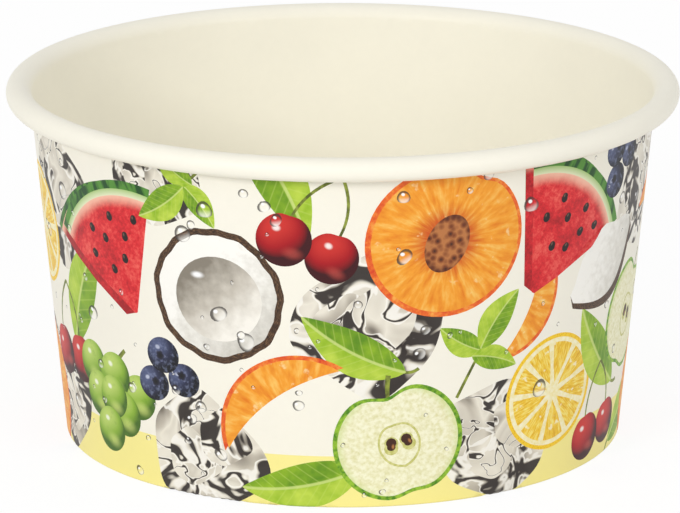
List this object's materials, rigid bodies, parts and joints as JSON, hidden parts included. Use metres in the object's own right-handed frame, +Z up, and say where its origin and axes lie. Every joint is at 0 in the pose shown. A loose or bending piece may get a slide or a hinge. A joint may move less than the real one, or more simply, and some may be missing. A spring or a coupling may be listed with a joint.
{
  "type": "paper dessert cup",
  "caption": "Shallow round tapered paper cup with a rolled rim, a recessed base and a fruit print over a plain yellow foot band.",
  "frame": {"origin": "centre of the foot ring, on the surface the cup stands on", "axes": "+Z up along the cup's axis; the side seam is at the back, towards +Y"},
  "size_m": [0.092, 0.092, 0.0494],
  "materials": {
    "printed_board": "satin coated board, printed outside",
    "base_board": "satin coated board, unprinted"
  },
  "bodies": {
    "root": {"sidewall": "printed_board", "base_disc": "base_board"}
  },
  "joints": []
}
